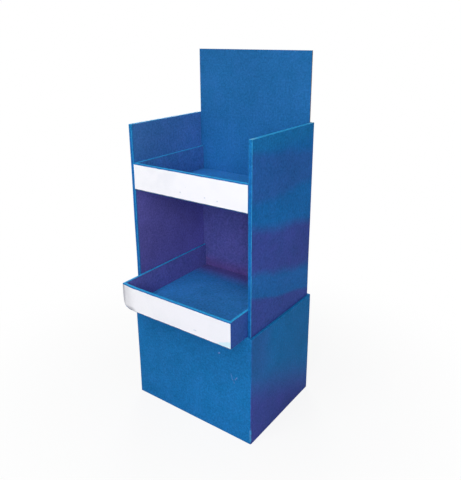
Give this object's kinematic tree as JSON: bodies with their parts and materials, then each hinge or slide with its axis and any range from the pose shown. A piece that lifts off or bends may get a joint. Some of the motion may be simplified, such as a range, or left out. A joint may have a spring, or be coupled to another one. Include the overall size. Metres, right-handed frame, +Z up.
{
  "type": "cardboard display stand",
  "caption": "Floor display of printed corrugated board: square base, open shell with hollow side walls, two trays with white front strips and a tall header card.",
  "frame": {"origin": "on the floor, below the middle of the display's bounding box", "axes": "+Z up, +Y towards the back of the display, +X to the right of someone who faces the trays"},
  "size_m": [0.6, 0.5558, 1.486],
  "materials": {
    "blue_board": "satin printed corrugated board",
    "white_card": "smooth white solid card",
    "plain_board": "unprinted brown corrugated board"
  },
  "bodies": {
    "root": {"base_sleeve": "blue_board", "shell": "blue_board", "upper_tray": "blue_board", "lower_tray": "blue_board", "header_card": "blue_board", "upper_front_strip": "white_card", "lower_front_strip": "white_card", "base_divider_long": "plain_board", "base_divider_cross": "plain_board"}
  },
  "joints": []
}
